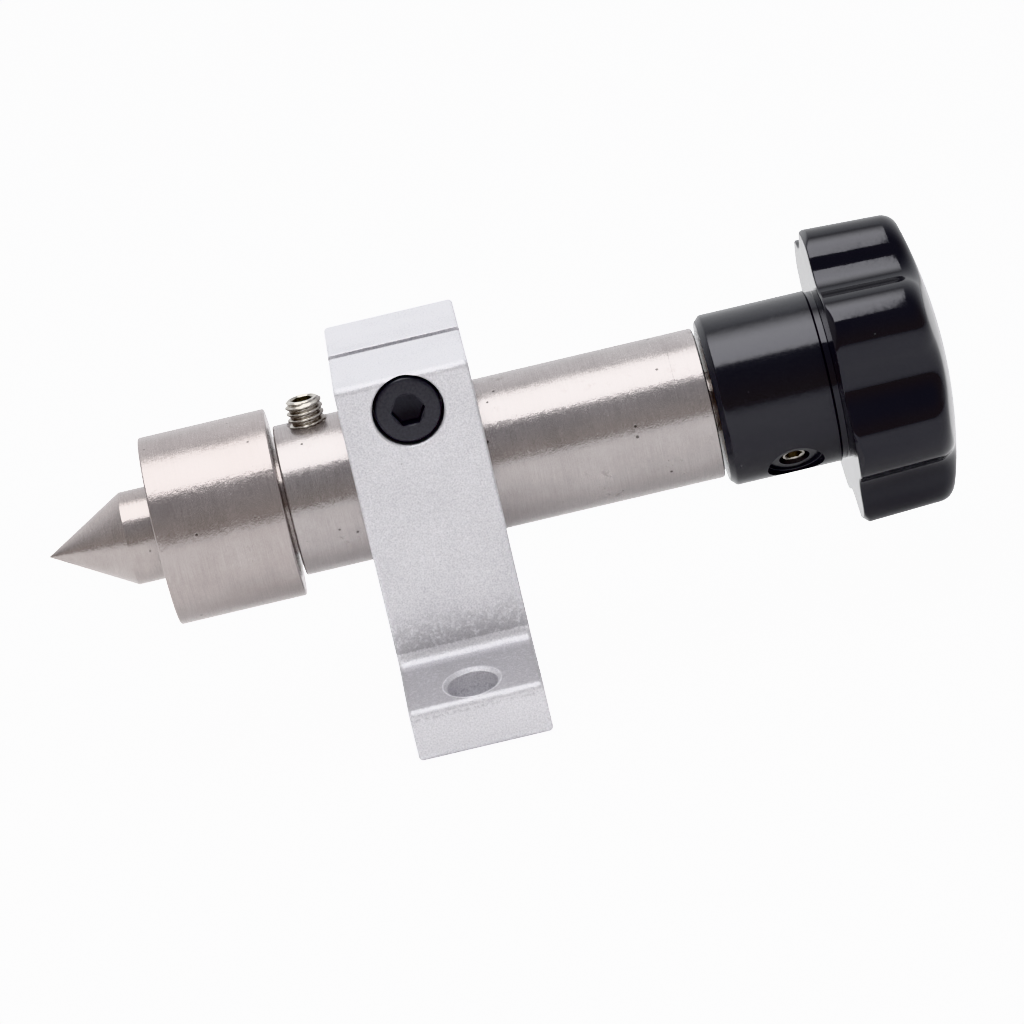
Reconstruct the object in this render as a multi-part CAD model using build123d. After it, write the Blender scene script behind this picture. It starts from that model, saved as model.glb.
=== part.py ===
from build123d import *
import os
from math import cos, radians, sin, tan

# Clamp-mounted live centre (a small lathe tailstock). Millimetres, +Z up.
# Origin: middle of the support block's foot, between its two bolt holes.
# +X runs along the spindle from the point towards the knob, -Y is the clamp screw's side.

# --- support block -----------------------------------------------------------
AXIS_HEIGHT = 29.0        # spindle axis above the foot
BLOCK_LENGTH = 17.5       # along X
BOSS_WIDTH = 34.0         # along Y
BLOCK_HEIGHT = 46.5
FOOT_WIDTH = 60.0         # along Y
FOOT_EDGE = 6.8           # foot thickness at its outer edge
FOOT_ROOT = 9.1           # foot thickness where it meets the boss
BLOCK_ROUND = 0.8         # outer corners of the outline
BLOCK_HOLLOW = 1.2        # inner corners where the feet meet the boss
BLOCK_END_CHAMFER = 0.5   # round both end faces
BOLT_SPACING = 51.0       # along Y
BOLT_HOLE_R = 3.3
BOLT_CHAMFER = 0.45
SLOT_WIDTH = 2.0
CLAMP_CLEARANCE = 0.03    # radial, block bore over barrel

# --- clamp screw, M5 socket head ---------------------------------------------
CLAMP_AXIS_Z = AXIS_HEIGHT + 12.75
CLAMP_SHANK_R = 2.5
CLAMP_HOLE_R = 2.6
CLAMP_HEAD_R = 4.25
CLAMP_HEAD_HEIGHT = 5.0
CLAMP_HEAD_CHAMFER = 0.4
CLAMP_LENGTH = 25.0
COUNTERBORE_R = 4.6
COUNTERBORE_DEPTH = 5.3
CLAMP_HEX = 4.0           # across flats
CLAMP_HEX_DEPTH = 2.5

# --- barrel and what it holds ------------------------------------------------
BARREL_R = 10.0
BARREL_FRONT = -17.9
BARREL_REAR = 38.1
BARREL_CHAMFER = 0.3
BARREL_COUNTERBORE_R = 8.05
BARREL_STEP = 26.0        # where the rear counterbore ends
RING_MARK_X = 34.1
RING_MARK_WIDTH = 0.24
RING_MARK_DEPTH = 0.08
QUILL_CLEARANCE = 0.03
WASHER_THICKNESS = 1.0
WASHER_CLEARANCE = 0.1    # radial, in the counterbore
WASHER_BORE_R = 4.3
END_FLOAT = 0.03
BUSH_LENGTH = 7.9
BUSH_INSET = 0.1          # from the rear face of the barrel
JOURNAL_CLEARANCE = 0.04  # radial, in the bush

# --- quill and lead screw ----------------------------------------------------
QUILL_R = 7.0
QUILL_FRONT = -18.4
QUILL_REAR = 16.0
QUILL_SPIGOT_R = 5.0
QUILL_SPIGOT_LENGTH = 2.6
QUILL_CHAMFER = 0.5
QUILL_TRAVEL = 20.0
KEYWAY_WIDTH = 2.8
KEYWAY_FLOOR_R = 5.0
SCREW_R = 3.0             # M6 thread, left plain
SCREW_BORE_R = 3.1
SCREW_FRONT = -12.0
SCREW_BORE_END = -14.0
DRILL_POINT_ANGLE = 30.0  # cone at the bottom of the bore
SCREW_CHAMFER = 0.5
FLANGE_R = 6.5
FLANGE_THICKNESS = 2.0
JOURNAL_R = 4.0
SCREW_NECK = 0.05         # radial step down behind the collar
SCREW_REAR = 64.0

# --- lock screw, M5 dog point ------------------------------------------------
LOCK_X = -13.2
LOCK_R = 2.45
LOCK_HOLE_R = 2.5
LOCK_TOP_R = 13.1         # top face above the spindle axis
LOCK_SHOULDER_R = 7.1
LOCK_TIP_R = 5.1
LOCK_DOG_R = 1.2
LOCK_HEX = 2.5
LOCK_HEX_DEPTH = 2.4
LOCK_CHAMFER = 0.35

# --- bearing head ------------------------------------------------------------
HEAD_R = 12.5
HEAD_FRONT = -35.3
HEAD_CHAMFER = 0.35
HEAD_LIP = 0.8            # in front of the retaining ring
RETAINER_THICKNESS = 1.0
RETAINER_INNER_R = 9.5
RETAINER_GROOVE_R = 11.45
RETAINER_GAP = 4.0
RETAINER_PLAY = 0.02      # each side, in its groove
RETAINER_GROOVE_CLEARANCE = 0.05
LUG_ANGLE = 16.0          # each side of the gap
LUG_R = 1.25
LUG_HOLE_R = 0.6

# --- radial bearing, 8 x 22 x 7 ----------------------------------------------
RADIAL_BORE_R = 4.0
RADIAL_OUTER_R = 11.0
RADIAL_WIDTH = 7.0
RADIAL_PITCH_R = 7.5
RADIAL_BALL_R = 1.984
RADIAL_BALLS = 7
RADIAL_INNER_SHOULDER_R = 6.05
RADIAL_OUTER_SHOULDER_R = 8.95
RADIAL_CAGE_HALF = 2.5
RADIAL_CAGE_WEB = 0.6     # each side of the pitch circle
RADIAL_CHAMFER = 0.3
SHIELD_THICKNESS = 0.3
SHIELD_INSET = 0.1
SHIELD_CLEARANCE = 0.25

# --- thrust bearing, 8 x 16 x 5 ----------------------------------------------
THRUST_OUTER_R = 8.0
THRUST_WASHER = 1.8
THRUST_HEIGHT = 5.0
THRUST_PITCH_R = 6.0
THRUST_BALL_R = 1.19
THRUST_BALLS = 9
THRUST_CAGE_HALF = 0.5
THRUST_CAGE_WEB = 1.5     # each side of the pitch circle
THRUST_RELIEF = 0.3       # washer edge that has to stay clear
SPACER_THICKNESS = 0.4
SPACER_R = 5.6
RACE_CLEARANCE = 0.04     # ball to raceway and ball to cage pocket

# --- centre point ------------------------------------------------------------
POINT_TIP = -50.0
POINT_R = 6.2
POINT_ANGLE = 60.0        # included
POINT_FLAT_R = 0.06
SHANK_END_GAP = 0.3
SHANK_CHAMFER = 0.3

# --- collar and knob ---------------------------------------------------------
COLLAR_R = 11.4
COLLAR_FRONT = 38.6
COLLAR_REAR = 53.4
COLLAR_CHAMFER = 0.8
COLLAR_REAR_CHAMFER = 0.2
COLLAR_HOLE_X = 47.2
COLLAR_HOLE_ANGLE = -51.0  # degrees above the horizontal on the -Y side
COLLAR_RECESS_R = 3.75
COLLAR_RECESS_FLOOR_R = 10.3
SET_SCREW_R = 1.95        # M4 grub screw
SET_SCREW_HOLE_R = 2.0
SET_SCREW_SUNK = 0.35     # below the floor of its recess
SET_SCREW_TIP_GAP = 0.02
SET_SCREW_TIP_CHAMFER = 0.5
SET_SCREW_CHAMFER = 0.3
SET_SCREW_HEX = 2.0
SET_SCREW_HEX_DEPTH = 1.8
KNOB_R = 20.0
KNOB_BACK = 54.3
KNOB_BOSS_R = 11.1
KNOB_APEX = 69.5
KNOB_DOME_R = 62.0
KNOB_DRAFT = 0.45         # how much the side narrows towards the dome
KNOB_SIDE_END = 64.4
KNOB_LOBES = 7
KNOB_LOBE_R = 6.2
KNOB_VALLEY_R = 17.0
KNOB_PHASE = 57.5         # degrees from the top towards -Y, to one lobe
KNOB_BACK_CHAMFER = 0.75
KNOB_FRONT_ROUND = 2.4
INSERT_R = 6.0
INSERT_FRONT = 54.0
INSERT_REAR = 64.6
INSERT_GROOVE = 0.6       # half the width, and the depth
PRESS_GAP = 0.01          # left between pressed faces so they never overlap

SPINDLE = Axis((0, 0, AXIS_HEIGHT), (1, 0, 0))
HEAD_REAR = QUILL_FRONT
BEARING_FRONT = HEAD_FRONT + HEAD_LIP + RETAINER_THICKNESS
BEARING_REAR = BEARING_FRONT + RADIAL_WIDTH
BEARING_MIDDLE = BEARING_FRONT + RADIAL_WIDTH / 2
THRUST_FRONT = BEARING_REAR + SPACER_THICKNESS
THRUST_REAR = THRUST_FRONT + THRUST_HEIGHT
THRUST_MIDDLE = THRUST_FRONT + THRUST_HEIGHT / 2
FLANGE_FRONT = BARREL_STEP + WASHER_THICKNESS + END_FLOAT
FLANGE_REAR = FLANGE_FRONT + FLANGE_THICKNESS


def turned(outline):
    """Solid of revolution about the spindle axis, from (x, radius) points."""
    points = [(x, AXIS_HEIGHT + radius) for x, radius in outline]
    section = Plane.XZ * make_face(Polyline(*points, close=True))
    return revolve(section, SPINDLE, 360)


def ring(outer_r, inner_r, x_front, x_rear):
    """Plain ring about the spindle axis."""
    return turned([(x_front, inner_r), (x_front, outer_r), (x_rear, outer_r), (x_rear, inner_r)])


def rod(radius, x_front, x_rear):
    """Plain round bar along the spindle axis."""
    return turned([(x_front, 0), (x_front, radius), (x_rear, radius), (x_rear, 0)])


def race(x, pitch_r, groove_r):
    """Torus that cuts a ball track centred on the spindle axis."""
    return Pos(x, 0, AXIS_HEIGHT) * Rot(0, 90, 0) * Torus(pitch_r, groove_r)


def ball_places(x, pitch_r, count):
    """Places evenly spaced on a circle about the spindle axis."""
    places = []
    for i in range(count):
        angle = radians(90 + 360 * i / count)
        places.append(Pos(x, pitch_r * cos(angle), AXIS_HEIGHT + pitch_r * sin(angle)))
    return places


def ball_ring(x, pitch_r, ball_r, count):
    """Balls evenly spaced on a circle about the spindle axis."""
    return [place * Sphere(ball_r) for place in ball_places(x, pitch_r, count)]


def standing(radius, height):
    """Cylinder that stands on the XY plane."""
    return Cylinder(radius, height, align=(Align.CENTER, Align.CENTER, Align.MIN))


def hex_prism(across_flats, depth):
    """Hexagonal prism rising from the XY plane, for a key socket."""
    return extrude(RegularPolygon(across_flats / 2, 6, major_radius=False), depth)


def outward(x, angle):
    """Location on the spindle axis at x whose Z axis points outwards, angle degrees above -Y."""
    direction = (0, -cos(radians(angle)), sin(radians(angle)))
    return Plane(origin=(x, 0, AXIS_HEIGHT), x_dir=(1, 0, 0), z_dir=direction)


def support_block():
    half_foot, half_boss = FOOT_WIDTH / 2, BOSS_WIDTH / 2
    outline = Polyline(
        (-half_foot, 0), (half_foot, 0), (half_foot, FOOT_EDGE), (half_boss, FOOT_ROOT),
        (half_boss, BLOCK_HEIGHT), (-half_boss, BLOCK_HEIGHT), (-half_boss, FOOT_ROOT),
        (-half_foot, FOOT_EDGE), close=True,
    )
    block = extrude(Plane.YZ * make_face(outline), BLOCK_LENGTH / 2, both=True)
    edges = block.edges().filter_by(Axis.X)
    corners = [edge for edge in edges if abs(edge.center().Z - FOOT_ROOT) > BLOCK_ROUND]
    roots = [edge for edge in edges if abs(edge.center().Z - FOOT_ROOT) < BLOCK_ROUND]
    block = fillet(corners, BLOCK_ROUND)
    hollows = []
    for root in roots:
        hollows.append(block.edges().filter_by(Axis.X).sort_by_distance(root.center())[0])
    block = fillet(hollows, BLOCK_HOLLOW)
    for end in (Axis.X.reverse(), Axis.X):
        block = chamfer(block.faces().sort_by(end)[0].outer_wire().edges(), BLOCK_END_CHAMFER)
    block -= rod(BARREL_R + CLAMP_CLEARANCE, -BLOCK_LENGTH, BLOCK_LENGTH)
    block -= Pos(0, 0, AXIS_HEIGHT) * Box(
        2 * BLOCK_LENGTH, SLOT_WIDTH, BLOCK_HEIGHT, align=(Align.CENTER, Align.CENTER, Align.MIN)
    )
    clamp_line = Pos(0, 0, CLAMP_AXIS_Z) * Rot(90, 0, 0)
    block -= clamp_line * Cylinder(CLAMP_HOLE_R, 2 * BOSS_WIDTH)
    boss_face = Pos(0, -half_boss, CLAMP_AXIS_Z) * Rot(90, 0, 0)
    block -= boss_face * Cylinder(COUNTERBORE_R, 2 * COUNTERBORE_DEPTH)
    for side in (-1, 1):
        at = Pos(0, side * BOLT_SPACING / 2, 0)
        block -= at * Cylinder(BOLT_HOLE_R, 4 * FOOT_ROOT)
    mouths = []
    for edge in block.edges():
        middle = edge.bounding_box().center()
        over_hole = abs(middle.X) < 1 and abs(abs(middle.Y) - BOLT_SPACING / 2) < 1
        if over_hole and middle.Z > FOOT_EDGE and edge.length > 5 * BOLT_HOLE_R:
            mouths.append(edge)
    block = chamfer(mouths, BOLT_CHAMFER)
    return block


def clamp_screw():
    seat = -BOSS_WIDTH / 2 + COUNTERBORE_DEPTH
    head = standing(CLAMP_HEAD_R, CLAMP_HEAD_HEIGHT)
    head = chamfer(head.edges().sort_by(Axis.Z)[-1], CLAMP_HEAD_CHAMFER)
    shank = Pos(0, 0, -CLAMP_LENGTH) * standing(CLAMP_SHANK_R, CLAMP_LENGTH)
    shank = chamfer(shank.edges().sort_by(Axis.Z)[0], CLAMP_HEAD_CHAMFER)
    screw = head + shank
    screw -= Pos(0, 0, CLAMP_HEAD_HEIGHT - CLAMP_HEX_DEPTH) * hex_prism(CLAMP_HEX, CLAMP_HEX_DEPTH)
    return Pos(0, seat, CLAMP_AXIS_Z) * Rot(90, 0, 0) * screw


def barrel():
    c = BARREL_CHAMFER
    w, d = RING_MARK_WIDTH / 2, RING_MARK_DEPTH
    inner = QUILL_R + QUILL_CLEARANCE
    body = turned([
        (BARREL_FRONT, inner), (BARREL_FRONT, BARREL_R - c), (BARREL_FRONT + c, BARREL_R),
        (RING_MARK_X - w, BARREL_R), (RING_MARK_X, BARREL_R - d), (RING_MARK_X + w, BARREL_R),
        (BARREL_REAR - c, BARREL_R), (BARREL_REAR, BARREL_R - c), (BARREL_REAR, BARREL_COUNTERBORE_R),
        (BARREL_STEP, BARREL_COUNTERBORE_R), (BARREL_STEP, inner),
    ])
    return body - Pos(LOCK_X, 0, AXIS_HEIGHT) * standing(LOCK_HOLE_R, 2 * BARREL_R)


def thrust_plate(x_front):
    """Bronze washer that takes the lead screw's end load."""
    outer_r = BARREL_COUNTERBORE_R - WASHER_CLEARANCE
    return ring(outer_r, WASHER_BORE_R, x_front, x_front + WASHER_THICKNESS)


def rear_bush():
    front = BARREL_REAR - BUSH_LENGTH
    outer_r = BARREL_COUNTERBORE_R - PRESS_GAP
    return ring(outer_r, JOURNAL_R + JOURNAL_CLEARANCE, front, BARREL_REAR - BUSH_INSET)


def lock_screw():
    body_length = LOCK_TOP_R - LOCK_SHOULDER_R
    dog_length = LOCK_SHOULDER_R - LOCK_TIP_R
    body = standing(LOCK_R, body_length)
    body = chamfer(body.edges().sort_by(Axis.Z)[-1], LOCK_CHAMFER)
    body += Pos(0, 0, -dog_length) * standing(LOCK_DOG_R, dog_length)
    body -= Pos(0, 0, body_length - LOCK_HEX_DEPTH) * hex_prism(LOCK_HEX, LOCK_HEX_DEPTH)
    return Pos(LOCK_X, 0, AXIS_HEIGHT + LOCK_SHOULDER_R) * body


def quill():
    body = turned([
        (QUILL_FRONT - QUILL_SPIGOT_LENGTH, 0), (QUILL_FRONT - QUILL_SPIGOT_LENGTH, QUILL_SPIGOT_R),
        (QUILL_FRONT, QUILL_SPIGOT_R), (QUILL_FRONT, QUILL_R), (QUILL_REAR - QUILL_CHAMFER, QUILL_R),
        (QUILL_REAR, QUILL_R - QUILL_CHAMFER), (QUILL_REAR, SCREW_BORE_R), (SCREW_BORE_END, SCREW_BORE_R),
        (SCREW_BORE_END - SCREW_BORE_R * tan(radians(DRILL_POINT_ANGLE)), 0),
    ])
    front = LOCK_X - KEYWAY_WIDTH
    rear = LOCK_X + QUILL_TRAVEL + KEYWAY_WIDTH
    slot = Box(rear - front, KEYWAY_WIDTH, QUILL_R, align=(Align.MIN, Align.CENTER, Align.MIN))
    return body - Pos(front, 0, AXIS_HEIGHT + KEYWAY_FLOOR_R) * slot


def lead_screw():
    c = SCREW_CHAMFER
    neck_r = JOURNAL_R - SCREW_NECK
    return turned([
        (SCREW_FRONT, 0), (SCREW_FRONT, SCREW_R - c), (SCREW_FRONT + c, SCREW_R), (FLANGE_FRONT, SCREW_R),
        (FLANGE_FRONT, FLANGE_R), (FLANGE_REAR, FLANGE_R), (FLANGE_REAR, JOURNAL_R),
        (COLLAR_REAR, JOURNAL_R), (COLLAR_REAR, neck_r), (SCREW_REAR - c, neck_r),
        (SCREW_REAR, neck_r - c), (SCREW_REAR, 0),
    ])


def bearing_head():
    c = HEAD_CHAMFER
    seat_r = RADIAL_OUTER_R + PRESS_GAP
    groove_r = RETAINER_GROOVE_R + RETAINER_GROOVE_CLEARANCE
    groove_front = HEAD_FRONT + HEAD_LIP
    return turned([
        (HEAD_FRONT, seat_r), (HEAD_FRONT, HEAD_R - c), (HEAD_FRONT + c, HEAD_R),
        (HEAD_REAR - c, HEAD_R), (HEAD_REAR, HEAD_R - c), (HEAD_REAR, QUILL_SPIGOT_R + PRESS_GAP),
        (THRUST_REAR, QUILL_SPIGOT_R + PRESS_GAP), (THRUST_REAR, THRUST_OUTER_R + PRESS_GAP),
        (BEARING_REAR, THRUST_OUTER_R + PRESS_GAP), (BEARING_REAR, seat_r), (BEARING_FRONT, seat_r),
        (BEARING_FRONT, groove_r), (groove_front, groove_r), (groove_front, seat_r),
    ])


def retaining_ring():
    """Internal circlip with its gap and two lugs with plier holes."""
    front = HEAD_FRONT + HEAD_LIP + RETAINER_PLAY
    rear = BEARING_FRONT - RETAINER_PLAY
    clip = ring(RETAINER_GROOVE_R, RETAINER_INNER_R, front, rear)
    below = (Align.CENTER, Align.CENTER, Align.MAX)
    gap = Box(4 * RETAINER_THICKNESS, RETAINER_GAP, 2 * RADIAL_OUTER_R, align=below)
    clip -= Pos(front, 0, AXIS_HEIGHT) * gap
    for side in (-1, 1):
        lug = outward((front + rear) / 2, -90 + side * LUG_ANGLE) * Pos(0, 0, RETAINER_INNER_R)
        across = Rot(0, 90, 0)
        clip += lug * across * Cylinder(LUG_R, rear - front)
        clip -= lug * across * Cylinder(LUG_HOLE_R, 2 * RETAINER_THICKNESS)
    return clip


def radial_outer_ring():
    body = ring(RADIAL_OUTER_R, RADIAL_OUTER_SHOULDER_R, BEARING_FRONT, BEARING_REAR)
    body = chamfer(body.edges().filter_by(GeomType.CIRCLE).sort_by(SortBy.RADIUS)[-2:], RADIAL_CHAMFER)
    return body - race(BEARING_MIDDLE, RADIAL_PITCH_R, RADIAL_BALL_R + RACE_CLEARANCE)


def radial_inner_ring():
    body = ring(RADIAL_INNER_SHOULDER_R, RADIAL_BORE_R + PRESS_GAP, BEARING_FRONT, BEARING_REAR)
    return body - race(BEARING_MIDDLE, RADIAL_PITCH_R, RADIAL_BALL_R + RACE_CLEARANCE)


def radial_shields():
    outer_r = RADIAL_OUTER_SHOULDER_R - PRESS_GAP
    inner_r = RADIAL_INNER_SHOULDER_R + SHIELD_CLEARANCE
    shields = []
    for x in (BEARING_FRONT + SHIELD_INSET, BEARING_REAR - SHIELD_INSET - SHIELD_THICKNESS):
        shields.append(ring(outer_r, inner_r, x, x + SHIELD_THICKNESS))
    return Compound(shields)


def radial_cage():
    cage = ring(RADIAL_PITCH_R + RADIAL_CAGE_WEB, RADIAL_PITCH_R - RADIAL_CAGE_WEB,
                BEARING_MIDDLE - RADIAL_CAGE_HALF, BEARING_MIDDLE + RADIAL_CAGE_HALF)
    for pocket in ball_ring(BEARING_MIDDLE, RADIAL_PITCH_R, RADIAL_BALL_R + RACE_CLEARANCE, RADIAL_BALLS):
        cage -= pocket
    return cage


def radial_balls():
    return Compound(ball_ring(BEARING_MIDDLE, RADIAL_PITCH_R, RADIAL_BALL_R, RADIAL_BALLS))


def bearing_spacer():
    return ring(SPACER_R, RADIAL_BORE_R + PRESS_GAP, BEARING_REAR, THRUST_FRONT)


def thrust_shaft_washer():
    outer_r = THRUST_OUTER_R - THRUST_RELIEF
    body = ring(outer_r, RADIAL_BORE_R + PRESS_GAP, THRUST_FRONT, THRUST_FRONT + THRUST_WASHER)
    return body - race(THRUST_MIDDLE, THRUST_PITCH_R, THRUST_BALL_R + RACE_CLEARANCE)


def thrust_housing_washer():
    inner_r = RADIAL_BORE_R + THRUST_RELIEF
    body = ring(THRUST_OUTER_R, inner_r, THRUST_REAR - THRUST_WASHER, THRUST_REAR)
    return body - race(THRUST_MIDDLE, THRUST_PITCH_R, THRUST_BALL_R + RACE_CLEARANCE)


def thrust_cage():
    cage = ring(THRUST_PITCH_R + THRUST_CAGE_WEB, THRUST_PITCH_R - THRUST_CAGE_WEB,
                THRUST_MIDDLE - THRUST_CAGE_HALF, THRUST_MIDDLE + THRUST_CAGE_HALF)
    pocket = Rot(0, 90, 0) * Cylinder(THRUST_BALL_R + RACE_CLEARANCE, 4 * THRUST_CAGE_HALF)
    for place in ball_places(THRUST_MIDDLE, THRUST_PITCH_R, THRUST_BALLS):
        cage -= place * pocket
    return cage


def thrust_balls():
    return Compound(ball_ring(THRUST_MIDDLE, THRUST_PITCH_R, THRUST_BALL_R, THRUST_BALLS))


def center_point():
    cone_base = POINT_TIP + (POINT_R - POINT_FLAT_R) / tan(radians(POINT_ANGLE / 2))
    shank_end = THRUST_REAR - SHANK_END_GAP
    return turned([
        (POINT_TIP, 0), (POINT_TIP, POINT_FLAT_R), (cone_base, POINT_R), (BEARING_FRONT, POINT_R),
        (BEARING_FRONT, RADIAL_BORE_R), (shank_end - SHANK_CHAMFER, RADIAL_BORE_R),
        (shank_end, RADIAL_BORE_R - SHANK_CHAMFER), (shank_end, 0),
    ])


def collar():
    c, rear_c = COLLAR_CHAMFER, COLLAR_REAR_CHAMFER
    bore_r = JOURNAL_R + PRESS_GAP
    body = turned([
        (COLLAR_FRONT, bore_r), (COLLAR_FRONT, COLLAR_R - c), (COLLAR_FRONT + c, COLLAR_R),
        (COLLAR_REAR - rear_c, COLLAR_R), (COLLAR_REAR, COLLAR_R - rear_c), (COLLAR_REAR, bore_r),
    ])
    side = outward(COLLAR_HOLE_X, COLLAR_HOLE_ANGLE)
    body -= side * standing(SET_SCREW_HOLE_R, 2 * COLLAR_R)
    body -= side * Pos(0, 0, COLLAR_RECESS_FLOOR_R) * standing(COLLAR_RECESS_R, COLLAR_R)
    return body


def collar_set_screw():
    tip = JOURNAL_R + SET_SCREW_TIP_GAP
    length = COLLAR_RECESS_FLOOR_R - SET_SCREW_SUNK - tip
    screw = standing(SET_SCREW_R, length)
    screw = chamfer(screw.edges().sort_by(Axis.Z)[0], SET_SCREW_TIP_CHAMFER)
    screw = chamfer(screw.edges().filter_by(GeomType.CIRCLE).sort_by(Axis.Z)[-1], SET_SCREW_CHAMFER)
    screw -= Pos(0, 0, length - SET_SCREW_HEX_DEPTH) * hex_prism(SET_SCREW_HEX, SET_SCREW_HEX_DEPTH)
    return outward(COLLAR_HOLE_X, COLLAR_HOLE_ANGLE) * Pos(0, 0, tip) * screw


def polar(radius, degrees):
    """Point in the XY plane at this radius and angle."""
    return Vector(radius * cos(radians(degrees)), radius * sin(radians(degrees)), 0)


def lobed_outline():
    """Convex lobes joined by tangent concave valleys in the XY plane, with a valley along +X."""
    half = 180 / KNOB_LOBES
    reach = KNOB_R - KNOB_LOBE_R
    flank = reach * cos(radians(half))
    hollow = (KNOB_LOBE_R**2 - reach**2 - KNOB_VALLEY_R**2 + 2 * flank * KNOB_VALLEY_R) / (
        2 * (KNOB_VALLEY_R - flank - KNOB_LOBE_R)
    )
    share = KNOB_LOBE_R / (KNOB_LOBE_R + hollow)
    edges = []
    for i in range(KNOB_LOBES):
        middle = half + 2 * half * i
        lobe = polar(reach, middle)
        start = lobe + (polar(KNOB_VALLEY_R + hollow, middle - half) - lobe) * share
        end = lobe + (polar(KNOB_VALLEY_R + hollow, middle + half) - lobe) * share
        next_lobe = polar(reach, middle + 2 * half)
        next_start = next_lobe + (polar(KNOB_VALLEY_R + hollow, middle + half) - next_lobe) * share
        edges.append(ThreePointArc(start, polar(KNOB_R, middle), end))
        edges.append(ThreePointArc(end, polar(KNOB_VALLEY_R, middle + half), next_start))
    return make_face(edges)


def knob():
    back = Plane(origin=(KNOB_BACK, 0, AXIS_HEIGHT), x_dir=(0, 0, 1), z_dir=(1, 0, 0))
    head = extrude(back * lobed_outline(), KNOB_APEX - KNOB_BACK + 1)
    rim = KNOB_R - KNOB_DRAFT
    dome_drop = KNOB_DOME_R - (KNOB_DOME_R**2 - rim**2) ** 0.5
    dome_mid = KNOB_DOME_R - (KNOB_DOME_R**2 - (rim / 2) ** 2) ** 0.5
    z = AXIS_HEIGHT
    outline = [
        Line((KNOB_BACK, z), (KNOB_BACK, z + KNOB_R - KNOB_BACK_CHAMFER)),
        Line((KNOB_BACK, z + KNOB_R - KNOB_BACK_CHAMFER), (KNOB_BACK + KNOB_BACK_CHAMFER, z + KNOB_R)),
        Line((KNOB_BACK + KNOB_BACK_CHAMFER, z + KNOB_R), (KNOB_APEX - dome_drop, z + rim)),
        ThreePointArc(
            (KNOB_APEX - dome_drop, z + rim), (KNOB_APEX - dome_mid, z + rim / 2), (KNOB_APEX, z)
        ),
        Line((KNOB_APEX, z), (KNOB_BACK, z)),
    ]
    envelope = revolve(Plane.XZ * make_face(outline), SPINDLE, 360)
    head = head & envelope
    front = [edge for edge in head.edges() if edge.center().X > KNOB_SIDE_END]
    head = fillet(front, KNOB_FRONT_ROUND)
    head = head.rotate(SPINDLE, KNOB_PHASE - 180 / KNOB_LOBES)
    head += rod(KNOB_BOSS_R, COLLAR_REAR, KNOB_BACK + 1)
    return head - rod(INSERT_R, COLLAR_REAR - 1, INSERT_REAR)


def knob_insert():
    """Brass bush moulded into the knob, bored through for the screw's end."""
    middle = (INSERT_FRONT + INSERT_REAR) / 2
    groove = ring(2 * INSERT_R, INSERT_R - INSERT_GROOVE, middle - INSERT_GROOVE, middle + INSERT_GROOVE)
    return ring(INSERT_R - PRESS_GAP, JOURNAL_R, INSERT_FRONT, INSERT_REAR) - groove


PIECES = {
    "support_block": support_block,
    "clamp_screw": clamp_screw,
    "barrel": barrel,
    "front_thrust_plate": lambda: thrust_plate(BARREL_STEP),
    "rear_thrust_plate": lambda: thrust_plate(FLANGE_REAR + END_FLOAT),
    "rear_bush": rear_bush,
    "lock_screw": lock_screw,
    "quill": quill,
    "lead_screw": lead_screw,
    "bearing_head": bearing_head,
    "retaining_ring": retaining_ring,
    "radial_outer_ring": radial_outer_ring,
    "radial_inner_ring": radial_inner_ring,
    "radial_shields": radial_shields,
    "radial_cage": radial_cage,
    "radial_balls": radial_balls,
    "bearing_spacer": bearing_spacer,
    "thrust_shaft_washer": thrust_shaft_washer,
    "thrust_housing_washer": thrust_housing_washer,
    "thrust_cage": thrust_cage,
    "thrust_balls": thrust_balls,
    "center_point": center_point,
    "collar": collar,
    "collar_set_screw": collar_set_screw,
    "knob": knob,
    "knob_insert": knob_insert,
}

os.makedirs("parts", exist_ok=True)
for name, make in PIECES.items():
    export_step(make(), f"parts/{name}.step")
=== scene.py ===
import math

import bmesh
import bpy
from mathutils import Matrix, Vector


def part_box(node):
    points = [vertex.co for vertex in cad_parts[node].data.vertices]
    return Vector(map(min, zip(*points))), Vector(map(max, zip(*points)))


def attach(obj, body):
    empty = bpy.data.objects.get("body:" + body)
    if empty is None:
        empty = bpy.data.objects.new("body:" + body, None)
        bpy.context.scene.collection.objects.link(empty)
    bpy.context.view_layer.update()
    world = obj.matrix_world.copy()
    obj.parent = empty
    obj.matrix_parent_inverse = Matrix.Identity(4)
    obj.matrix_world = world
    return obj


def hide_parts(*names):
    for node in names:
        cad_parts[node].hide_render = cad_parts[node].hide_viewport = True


# Looks for the clamp-mounted live centre. Lengths are in millimetres until a mesh is made.
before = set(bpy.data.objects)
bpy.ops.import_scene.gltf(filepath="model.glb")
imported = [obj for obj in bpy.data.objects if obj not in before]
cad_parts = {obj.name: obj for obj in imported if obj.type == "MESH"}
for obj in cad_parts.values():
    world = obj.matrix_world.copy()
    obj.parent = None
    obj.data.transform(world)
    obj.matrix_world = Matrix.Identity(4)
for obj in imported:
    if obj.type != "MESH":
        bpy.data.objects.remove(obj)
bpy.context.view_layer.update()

MM = 0.001
SEGMENTS = 144            # around a turned piece
ARC_STEPS = 5             # along a rounded corner
SHARP_DEGREES = 32.0      # edges that bend more than this stay crisp


def corners_of(node):
    """Lowest and highest corners of a CAD node, in millimetres."""
    low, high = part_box(node)
    return Vector(low) / MM, Vector(high) / MM


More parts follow.
